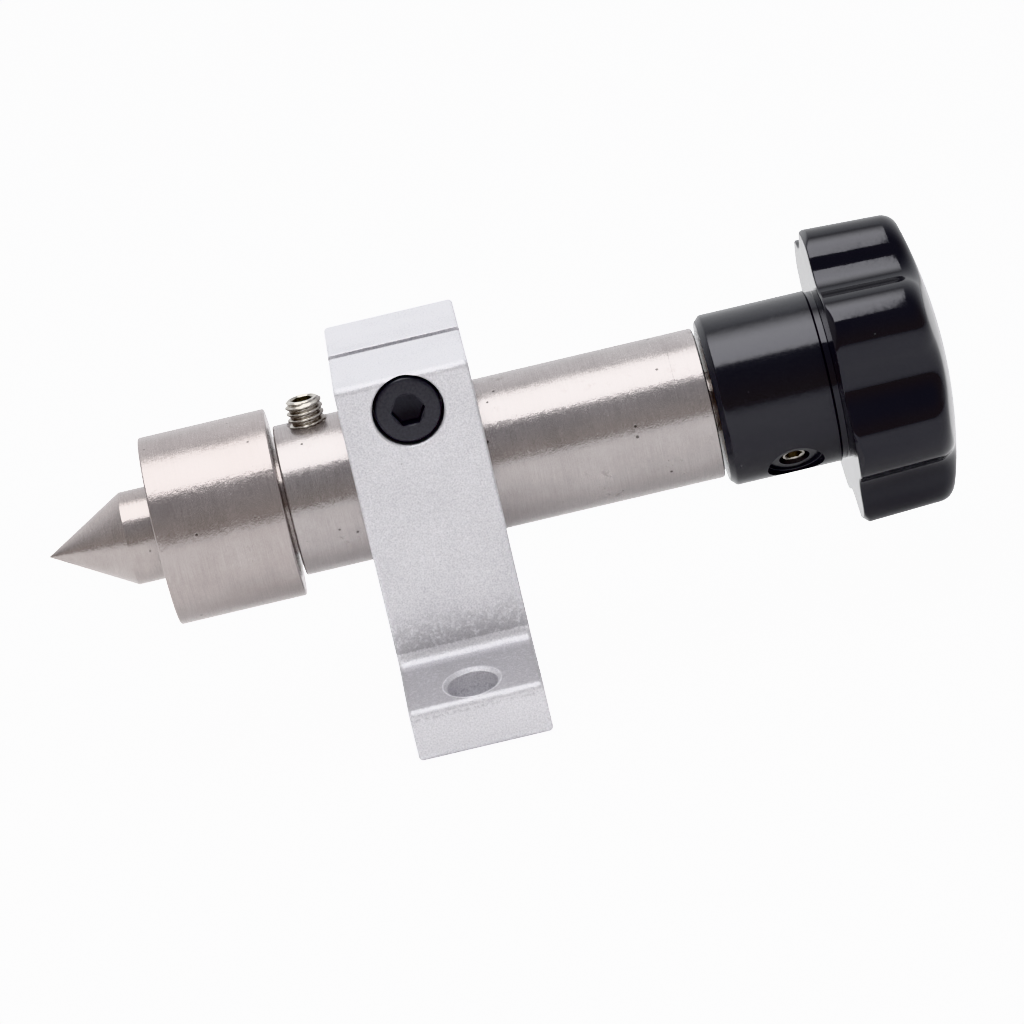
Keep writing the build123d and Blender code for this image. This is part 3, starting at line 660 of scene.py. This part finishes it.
# --- materials ---------------------------------------------------------------
class Finish:
    """A node material with short ways to add and join nodes."""

    def __init__(self, name):
        """New material whose textures run in the object's own coordinates."""
        self.material = bpy.data.materials.new(name)
        self.material.use_nodes = True
        self.nodes = self.material.node_tree.nodes
        self.links = self.material.node_tree.links
        self.shader = self.nodes["Principled BSDF"]
        self.place = self.add("ShaderNodeTexCoord").outputs["Object"]

    def add(self, kind, inputs=None, **settings):
        """New node with its settings, and its inputs by name or number."""
        node = self.nodes.new(kind)
        for key, value in settings.items():
            setattr(node, key, value)
        for key, value in (inputs or {}).items():
            self.put(node.inputs[key], value)
        return node

    def put(self, socket, value):
        """Joins a socket to another one, or gives it a value."""
        if isinstance(value, bpy.types.NodeSocket):
            self.links.new(value, socket)
        else:
            socket.default_value = value

    def math(self, operation, a, b=0.0):
        """Result of a sum on one or two values."""
        return self.add("ShaderNodeMath", {0: a, 1: b}, operation=operation).outputs[0]

    def plus(self, a, b):
        return self.math("ADD", a, b)

    def minus(self, a, b):
        return self.math("SUBTRACT", a, b)

    def times(self, a, b):
        return self.math("MULTIPLY", a, b)

    def noise(self, scale, detail=3.0, roughness=0.5, vector=None, w=None):
        """Soft noise from about 0 to 1. With w it is taken from four dimensions."""
        node = self.add("ShaderNodeTexNoise", {
            "Scale": scale, "Detail": detail, "Roughness": roughness,
        })
        if w is not None:
            node.noise_dimensions = "4D"
            self.put(node.inputs["W"], w)
        self.put(node.inputs["Vector"], vector or self.place)
        return node.outputs["Fac"]

    def ramp(self, value, low, high, to_low=0.0, to_high=1.0):
        """The value moved from low..high to to_low..to_high, and held there."""
        node = self.add("ShaderNodeMapRange", {
            "Value": value, "From Min": low, "From Max": high, "To Min": to_low, "To Max": to_high,
        })
        return node.outputs["Result"]

    def blend(self, share, a, b):
        """Colour a, turning into b as share goes from 0 to 1."""
        node = self.add("ShaderNodeMix", data_type="RGBA")
        for key, value in (("Factor_Float", share), ("A_Color", a), ("B_Color", b)):
            socket = next(s for s in node.inputs if s.identifier == key)
            self.put(socket, value)
        return next(s for s in node.outputs if s.identifier == "Result_Color")

    def specks(self, scale, share, radius, seed=0.0):
        """Sparse round spots: 1 inside a spot. Share is how many cells have one."""
        moved = self.add("ShaderNodeVectorMath", {
            0: self.place, 1: (seed, seed, seed),
        }, operation="ADD")
        cells = self.add("ShaderNodeTexVoronoi", {"Vector": moved.outputs[0], "Scale": scale})
        parts = self.add("ShaderNodeSeparateColor", {"Color": cells.outputs["Color"]})
        picked = self.math("LESS_THAN", parts.outputs[0], share)
        size = self.ramp(cells.outputs["Distance"], radius, radius * 0.55)
        return self.times(picked, size)

    def around(self, centre, axis):
        """Unit direction round an axis through centre, distance from it, and place along it."""
        shifted = self.add("ShaderNodeVectorMath", {
            0: self.place, 1: centre,
        }, operation="SUBTRACT").outputs[0]
        parts = self.add("ShaderNodeSeparateXYZ", {"Vector": shifted}).outputs
        along = parts["XYZ".index(axis)]
        flat = self.add("ShaderNodeVectorMath", {
            0: shifted, 1: tuple(0.0 if a == axis else 1.0 for a in "XYZ"),
        }, operation="MULTIPLY").outputs[0]
        distance = self.add("ShaderNodeVectorMath", {0: flat}, operation="LENGTH").outputs["Value"]
        direction = self.add("ShaderNodeVectorMath", {0: flat}, operation="NORMALIZE").outputs[0]
        return direction, distance, along

    def rings(self, centre, axis, spacing, drift, detail=2.0):
        """Fine turning marks: they run round the axis, spacing apart, and change slowly as they go."""
        direction, distance, along = self.around(centre, axis)
        slow = self.add("ShaderNodeVectorMath", {0: direction, 3: drift}, operation="SCALE").outputs[0]
        across = self.math("DIVIDE", self.plus(along, distance), spacing)
        moved = self.add("ShaderNodeCombineXYZ", {0: across, 1: across, 2: 0.0}).outputs[0]
        vector = self.add("ShaderNodeVectorMath", {0: slow, 1: moved}, operation="ADD").outputs[0]
        return self.noise(1.0, detail, 0.55, vector, 0.0)

    def bump(self, height, depth, normal=None):
        """Bumped normal, on top of an earlier one if there is one."""
        node = self.add("ShaderNodeBump", {"Height": height, "Distance": depth, "Strength": 1.0})
        if normal is not None:
            self.put(node.inputs["Normal"], normal)
        return node.outputs["Normal"]

    def set(self, **values):
        """Sets or joins the shader's own inputs and gives the material back."""
        names = {
            "color": "Base Color", "metallic": "Metallic", "roughness": "Roughness", "normal": "Normal",
            "ior": "IOR", "anisotropic": "Anisotropic", "tint": "Specular Tint",
        }
        for key, value in values.items():
            self.put(self.shader.inputs[names[key]], value)
        return self.material


def tone(r, g, b):
    """Opaque colour."""
    return (r, g, b, 1.0)


def grey(level):
    """Opaque neutral colour."""
    return tone(level, level, level)


# Noise and specks are given in cells per metre, bumps and the spacing of rings in metres.
BLACK_TINT = tone(0.93, 0.925, 1.0)
# Heights in millimetres where a foot's painted shade starts, is full, is still full, and stops
PAINTED_SHADE_ON_TOP = (6.5, 7.0, 8.7, 9.0)
PAINTED_SHADE_AT_ROOT = (10.3, 10.6, 10.8, 16.0)
PAINTED_SHADE_AT_EDGE = (5.3, 5.7, 5.8, 6.0)


def turned_steel(name, light, dark, marks=1.0, wear=1.0):
    """Lathe-turned steel: fine rings, uneven sheen, faint stains, small pits and short scuffs."""
    f = Finish(name)
    fine = f.rings(SPINDLE_CENTRE, "X", 0.00011, 3.0, 3.0)
    broad = f.rings(SPINDLE_CENTRE, "X", 0.0007, 1.2)
    cloud = f.noise(150.0, 4.0, 0.6)
    uneven = f.noise(1300.0, 4.0, 0.6)
    speckle = f.noise(5200.0, 2.0)
    pits = f.specks(900.0, 0.07 * wear, 0.22)
    scuffs = f.times(f.ramp(f.noise(480.0, 6.0, 0.72), 0.58, 0.70), f.ramp(cloud, 0.45, 0.6))
    arcs = f.ramp(f.rings(SPINDLE_CENTRE, "X", 0.00035, 7.0, 4.0), 0.66, 0.72)
    shade = f.plus(f.times(fine, 0.85), f.times(broad, 0.15))
    shade = f.plus(shade, f.times(f.minus(cloud, 0.5), 0.7))
    shade = f.plus(shade, f.times(f.minus(speckle, 0.5), 0.5))
    color = f.blend(f.ramp(shade, 0.2, 0.8), dark, light)
    color = f.blend(f.times(scuffs, 0.5 * wear), color, tone(0.23, 0.20, 0.19))
    color = f.blend(f.times(arcs, 0.25), color, tone(0.70, 0.65, 0.63))
    color = f.blend(f.times(pits, 0.8), color, tone(0.07, 0.065, 0.06))
    rough = f.plus(f.ramp(speckle, 0.3, 0.7, 0.17, 0.24), f.times(scuffs, 0.15 * wear))
    rough = f.plus(rough, f.ramp(cloud, 0.35, 0.65, -0.02, 0.04))
    normal = f.bump(fine, 0.000005 * marks)
    normal = f.bump(uneven, 0.00003, normal)
    normal = f.bump(speckle, 0.000004, normal)
    normal = f.bump(f.times(pits, -1.0), 0.00002, normal)
    return f.set(color=color, metallic=0.86, roughness=rough, normal=normal, anisotropic=0.3)


def between(f, value, start, full, end, stop):
    """1 between full and end, falling to 0 at start and stop."""
    return f.times(f.ramp(value, start, full), f.ramp(value, stop, end))


def foot_painted_shade(f, grain):
    """Painted shade: grainy darker colour on top of each foot, where it meets the boss, and along its
    edge.
    """
    parts = f.add("ShaderNodeSeparateXYZ", {"Vector": f.place}).outputs
    height = f.times(parts["Z"], 1 / MM)
    across = f.minus(f.math("ABSOLUTE", parts["Y"]), BOLT_Y * MM)
    reach = f.add("ShaderNodeCombineXYZ", {0: parts["X"], 1: across, 2: 0.0}).outputs[0]
    from_bolt = f.add("ShaderNodeVectorMath", {0: reach}, operation="LENGTH").outputs["Value"]
    top = f.times(between(f, height, *PAINTED_SHADE_ON_TOP), f.ramp(grain, 0.25, 0.5, 0.55, 1.0))
    top = f.times(top, f.ramp(from_bolt, 3.8 * MM, 3.95 * MM))
    low = between(f, height, *PAINTED_SHADE_AT_ROOT)
    root = f.times(low, f.ramp(f.plus(grain, f.times(low, 0.25)), 0.5, 0.72))
    edge_shade = f.times(between(f, height, *PAINTED_SHADE_AT_EDGE), f.ramp(grain, 0.45, 0.6))
    return f.math("MAXIMUM", f.math("MAXIMUM", top, root), f.times(edge_shade, 0.7))


def cast_aluminium():
    """Fine sand-blasted, clear-anodised aluminium with a few pits, and painted shade on the feet."""
    f = Finish("blasted_aluminium")
    grain = f.noise(4600.0, 3.0, 0.7)
    lumps = f.noise(1900.0, 3.0, 0.6)
    cloud = f.noise(90.0, 3.0)
    pits = f.specks(420.0, 0.03, 0.14)
    glints = f.specks(3000.0, 0.12, 0.36, 0.7)
    shade = f.plus(f.times(grain, 0.8), f.times(cloud, 0.2))
    color = f.blend(f.ramp(shade, 0.35, 0.65), tone(0.66, 0.655, 0.69), tone(0.97, 0.96, 0.99))
    color = f.blend(f.times(glints, 0.5), color, tone(0.96, 0.95, 0.98))
    # Painted shade: the feet turn darker on top, where they meet the boss, and along their edge.
    color = f.blend(f.times(foot_painted_shade(f, lumps), 0.5), color, tone(0.26, 0.25, 0.27))
    color = f.blend(f.times(pits, 0.6), color, tone(0.2, 0.2, 0.21))
    rough = f.ramp(lumps, 0.3, 0.7, 0.28, 0.42)
    normal = f.bump(grain, 0.00008)
    normal = f.bump(lumps, 0.00004, normal)
    normal = f.bump(f.times(pits, -1.0), 0.00006, normal)
    return f.set(color=color, metallic=0.5, roughness=rough, normal=normal)


def slot_painted_shade():
    """Dull walls of the clamping slot with grainy lines, coloured nearly black: painted shade inside
    the narrow slot.
    """
    f = Finish("slot_painted_shade")
    lines = f.noise(2600.0, 4.0, 0.7)
    color = f.blend(f.ramp(lines, 0.4, 0.7), tone(0.04, 0.04, 0.045), tone(0.26, 0.26, 0.28))
    normal = f.bump(lines, 0.00004)
    return f.set(color=color, metallic=0.7, roughness=f.ramp(lines, 0.3, 0.7, 0.5, 0.7), normal=normal)


def black_oxide(name, low=0.13, high=0.2, grit=0.0000015, lift=1.0):
    """Satin black finish with fine turning marks, a little dust and faint scuffs."""
    f = Finish(name)
    fine = f.rings(SPINDLE_CENTRE, "X", 0.0002, 1.6)
    grain = f.noise(3000.0, 3.0)
    dust = f.specks(700.0, 0.09, 0.13)
    scuffs = f.ramp(f.noise(620.0, 6.0, 0.75), 0.60, 0.70)
    scuffs = f.times(scuffs, f.ramp(f.noise(160.0), 0.5, 0.6))
    deep = tone(0.002 * lift, 0.002 * lift, 0.0025 * lift)
    pale = tone(0.006 * lift, 0.006 * lift, 0.007 * lift)
    color = f.blend(f.ramp(grain, 0.3, 0.7), deep, pale)
    color = f.blend(f.times(scuffs, 0.16), color, tone(0.16, 0.16, 0.18))
    color = f.blend(f.times(dust, 0.5), color, tone(0.22, 0.22, 0.23))
    rough = f.plus(f.ramp(grain, 0.3, 0.7, low, high), f.times(dust, 0.3))
    rough = f.plus(rough, f.times(scuffs, 0.1))
    normal = f.bump(fine, 0.0000028)
    normal = f.bump(f.noise(900.0, 3.0), 0.000014, normal)
    normal = f.bump(grain, grit, normal)
    return f.set(color=color, roughness=rough, normal=normal, ior=1.72, tint=BLACK_TINT)


def bakelite():
    """Glossy black moulding with a slight ripple, fine dust and hairline scratches."""
    f = Finish("bakelite")
    ripple = f.noise(120.0, 2.0)
    grain = f.noise(2600.0, 2.0)
    dust = f.specks(520.0, 0.05, 0.09)
    hairs = f.ramp(f.rings(SPINDLE_CENTRE, "X", 0.0005, 5.0, 4.0), 0.70, 0.74)
    deep, pale = tone(0.0035, 0.0033, 0.0042), tone(0.0065, 0.0062, 0.0075)
    color = f.blend(f.ramp(ripple, 0.3, 0.7), deep, pale)
    color = f.blend(f.times(dust, 0.35), color, tone(0.2, 0.2, 0.21))
    rough = f.plus(f.ramp(grain, 0.3, 0.7, 0.07, 0.12), f.times(hairs, 0.12))
    rough = f.plus(rough, f.times(dust, 0.3))
    normal = f.bump(ripple, 0.00004)
    normal = f.bump(f.noise(900.0, 4.0, 0.6), 0.000008, normal)
    normal = f.bump(grain, 0.0000012, normal)
    return f.set(color=color, roughness=rough, normal=normal, ior=1.68, tint=BLACK_TINT)


def plated_steel():
    """Bright nickel plate with fine grain and darker stains."""
    f = Finish("nickel_plate")
    grain = f.noise(3800.0, 3.0)
    cloud = f.noise(700.0, 4.0, 0.6)
    color = f.blend(f.ramp(cloud, 0.35, 0.7), tone(0.44, 0.41, 0.37), tone(0.74, 0.71, 0.66))
    rough = f.ramp(grain, 0.3, 0.7, 0.14, 0.27)
    normal = f.bump(grain, 0.000003)
    return f.set(color=color, metallic=1.0, roughness=rough, normal=normal)


def polished(name, light, dark, low, high, spacing):
    """Turned or ground metal that is mostly hidden: rings, grain and a soft stain."""
    f = Finish(name)
    fine = f.rings(SPINDLE_CENTRE, "X", spacing, 1.5)
    grain = f.noise(3000.0, 3.0)
    cloud = f.noise(260.0, 3.0)
    shade = f.plus(f.times(fine, 0.5), f.times(cloud, 0.5))
    color = f.blend(f.ramp(shade, 0.35, 0.65), dark, light)
    rough = f.ramp(grain, 0.3, 0.7, low, high)
    normal = f.bump(fine, 0.000003)
    normal = f.bump(grain, 0.0000015, normal)
    return f.set(color=color, metallic=1.0, roughness=rough, normal=normal)


# --- stage -------------------------------------------------------------------
# Sizes and places in metres, angles in degrees
FLOOR_SIZE = 8.0
FLOOR_DROP = 0.0002
FLOOR_TONE = 0.8
FLOOR_GLOW = 2.6
TABLE_DROP = 0.0006
TABLE_TONE = 0.9
TABLE_GLOW = 0.14
SOFTBOX_LEFT = -0.36
SOFTBOX_RIGHT = 0.175
SOFTBOX_FRONT = -0.36
SOFTBOX_BACK = 0.34
SOFTBOX_HEIGHT = 0.64
SOFTBOX_GLOW = 3.4
SOFTBOX_BACK_SHARE = 0.2  # of its glow that is left at the back edge
WORLD_LOW = tone(0.44, 0.41, 0.39)
WORLD_HIGH = tone(0.37, 0.37, 0.39)
WORLD_BACK = tone(0.97, 0.98, 1.0)
WORLD_SEEN = tone(3.0, 3.0, 3.0)
CAMERA_AIM = Vector((0.010, 0, 0.0206))
CAMERA_DISTANCE = 0.64
CAMERA_LENS = 172.0
CAMERA_ELEVATION = 16.55
CAMERA_AZIMUTH = 0.47
CAMERA_ROLL = 13.1


def plain(name, color, strength):
    """Matt material with a white glow of this strength."""
    material = bpy.data.materials.new(name)
    material.use_nodes = True
    shader = material.node_tree.nodes["Principled BSDF"]
    shader.inputs["Base Color"].default_value = color
    shader.inputs["Roughness"].default_value = 0.9
    shader.inputs["Specular IOR Level"].default_value = 0.1
    shader.inputs["Emission Color"].default_value = (1, 1, 1, 1)
    shader.inputs["Emission Strength"].default_value = strength
    return material


def sheet(name, size_x, size_y, centre):
    """Flat rectangle that belongs to the stage."""
    mesh = bpy.data.meshes.new(name)
    x, y = size_x / 2, size_y / 2
    mesh.from_pydata([(-x, -y, 0), (x, -y, 0), (x, y, 0), (-x, y, 0)], [], [(0, 1, 2, 3)])
    obj = bpy.data.objects.new(name, mesh)
    obj.location = centre
    bpy.context.scene.collection.objects.link(obj)
    return obj


def make_floor():
    """White floor that the camera sees, over the greyer table that lights the object from below."""
    floor = sheet("floor", FLOOR_SIZE, FLOOR_SIZE, (0, 0, -FLOOR_DROP))
    floor.data.materials.append(plain("pale_floor", grey(FLOOR_TONE), FLOOR_GLOW))
    floor.visible_diffuse = False
    floor.visible_glossy = False
    floor.visible_transmission = False
    floor.visible_shadow = False
    table = sheet("table", FLOOR_SIZE, FLOOR_SIZE, (0, 0, -TABLE_DROP))
    table.data.materials.append(plain("grey_table", grey(TABLE_TONE), TABLE_GLOW))
    table.visible_camera = False


def make_softbox():
    """Overhead light panel, even in its front half and fading towards the back.

    It stops short on the knob's side, so that the highlights end before the dome.
    """
    depth, width = SOFTBOX_BACK - SOFTBOX_FRONT, SOFTBOX_RIGHT - SOFTBOX_LEFT
    middle_x, middle_y = (SOFTBOX_RIGHT + SOFTBOX_LEFT) / 2, (SOFTBOX_BACK + SOFTBOX_FRONT) / 2
    panel = sheet("softbox", width, depth, (middle_x, middle_y, SOFTBOX_HEIGHT))
    panel.visible_camera = False
    material = bpy.data.materials.new("softbox")
    material.use_nodes = True
    nodes, links = material.node_tree.nodes, material.node_tree.links
    nodes.clear()
    place = nodes.new("ShaderNodeTexCoord")
    parts = nodes.new("ShaderNodeSeparateXYZ")
    fade = nodes.new("ShaderNodeMapRange")
    glow = nodes.new("ShaderNodeEmission")
    out = nodes.new("ShaderNodeOutputMaterial")
    fade.interpolation_type = "SMOOTHSTEP"
    for key, value in (("From Min", 0.0), ("From Max", depth / 2),
                       ("To Min", SOFTBOX_GLOW), ("To Max", SOFTBOX_GLOW * SOFTBOX_BACK_SHARE)):
        fade.inputs[key].default_value = value
    links.new(place.outputs["Object"], parts.inputs[0])
    links.new(parts.outputs["Y"], fade.inputs["Value"])
    links.new(fade.outputs["Result"], glow.inputs["Strength"])
    links.new(glow.outputs[0], out.inputs["Surface"])
    panel.data.materials.append(material)


def make_world():
    """Dim in front and warmer low down, bright behind, and pale wherever the camera sees it."""
    world = bpy.data.worlds.new("studio")
    bpy.context.scene.world = world
    world.use_nodes = True
    nodes, links = world.node_tree.nodes, world.node_tree.links
    place = nodes.new("ShaderNodeTexCoord")
    parts = nodes.new("ShaderNodeSeparateXYZ")
    links.new(place.outputs["Generated"], parts.inputs[0])

    def share(axis, low, high):
        node = nodes.new("ShaderNodeMapRange")
        node.interpolation_type = "SMOOTHSTEP"
        node.inputs["From Min"].default_value = low
        node.inputs["From Max"].default_value = high
        links.new(parts.outputs[axis], node.inputs["Value"])
        return node.outputs["Result"]

    def mix(amount, a, b):
        node = nodes.new("ShaderNodeMix")
        node.data_type = "RGBA"
        links.new(amount, node.inputs[0])
        for socket, value in ((node.inputs[6], a), (node.inputs[7], b)):
            if isinstance(value, tuple):
                socket.default_value = value
            else:
                links.new(value, socket)
        return node.outputs[2]

    front = mix(share("Z", 0.0, 0.8), WORLD_LOW, WORLD_HIGH)
    whole = mix(share("Y", -0.35, 0.75), front, WORLD_BACK)
    seen = nodes.new("ShaderNodeLightPath").outputs["Is Camera Ray"]
    links.new(mix(seen, whole, WORLD_SEEN), nodes["Background"].inputs["Color"])


def make_camera():
    """Camera in front of the clamp screw's side, a little above, and rolled."""
    e, a = math.radians(CAMERA_ELEVATION), math.radians(CAMERA_AZIMUTH)
    roll = math.radians(CAMERA_ROLL)
    forward = Vector((math.sin(a) * math.cos(e), math.cos(a) * math.cos(e), -math.sin(e)))
    level_right = Vector((math.cos(a), -math.sin(a), 0))
    level_up = level_right.cross(forward)
    right = level_right * math.cos(roll) - level_up * math.sin(roll)
    up = level_right * math.sin(roll) + level_up * math.cos(roll)
    camera = bpy.data.objects.new("camera", bpy.data.cameras.new("camera"))
    camera.data.lens = CAMERA_LENS
    camera.data.sensor_width = 36.0
    camera.data.clip_end = 50.0
    turn = Matrix((right, up, -forward)).transposed().to_4x4()
    camera.matrix_world = Matrix.Translation(CAMERA_AIM - forward * CAMERA_DISTANCE) @ turn
    bpy.context.scene.collection.objects.link(camera)
    bpy.context.scene.camera = camera
    bpy.context.scene.view_settings.view_transform = "Khronos PBR Neutral"


# --- build -------------------------------------------------------------------
STEEL_LIGHT = tone(0.56, 0.51, 0.50)
STEEL_DARK = tone(0.40, 0.36, 0.35)
steel = turned_steel("turned_steel", tone(0.57, 0.53, 0.525), tone(0.40, 0.37, 0.365))
head_steel = turned_steel("brushed_head_steel", STEEL_LIGHT, STEEL_DARK, marks=2.2, wear=0.35)
point_steel = turned_steel("ground_steel", tone(0.57, 0.52, 0.505), STEEL_DARK, marks=1.4, wear=0.3)
aluminium = cast_aluminium()
# Painted shade for the clamping slot's walls
painted_slot_shade = slot_painted_shade()
oxide = black_oxide("black_oxide")
dull_oxide = black_oxide("dull_black_oxide", 0.34, 0.48, grit=0.000012, lift=6.0)
phenolic = bakelite()
nickel = plated_steel()
ball_steel = polished("bearing_steel", tone(0.62, 0.62, 0.62), tone(0.5, 0.5, 0.5), 0.08, 0.16, 0.0002)
bronze = polished("bronze", tone(0.60, 0.36, 0.16), tone(0.45, 0.26, 0.11), 0.25, 0.4, 0.0002)
brass = polished("cage_brass", tone(0.78, 0.57, 0.25), tone(0.62, 0.44, 0.18), 0.2, 0.32, 0.0002)

SLOT_FINISH = {
    "cast_aluminium": aluminium, "black_oxide_steel": oxide, "turned_steel": steel,
    "ground_steel": point_steel, "plated_steel": nickel, "bearing_steel": ball_steel,
    "bronze": bronze, "cage_brass": brass, "bakelite": phenolic,
}

make_camera()
make_floor()
make_softbox()
make_world()

stands_for(make_point(), "center_point", "center", "ground_steel", point_steel)
stands_for(make_head(), "bearing_head", "quill_unit", "turned_steel", head_steel)
stands_for(make_barrel(), "barrel", "barrel_unit", "turned_steel", steel)
stands_for(make_block(), "support_block", "support", "cast_aluminium", aluminium, painted_slot_shade)
stands_for(make_clamp_screw(), "clamp_screw", "clamp", "black_oxide_steel", dull_oxide)
stands_for(make_lock_screw(), "lock_screw", "lock", "plated_steel", nickel)
stands_for(make_collar(), "collar", "handwheel", "black_oxide_steel", oxide)
stands_for(make_set_screw(), "collar_set_screw", "handwheel", "plated_steel", nickel)
stands_for(make_knob(), "knob", "handwheel", "bakelite", phenolic)

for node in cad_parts.values():
    for slot in node.material_slots:
        name = slot.material.name.split(".")[0]
        slot.material = SLOT_FINISH.get(name, steel)
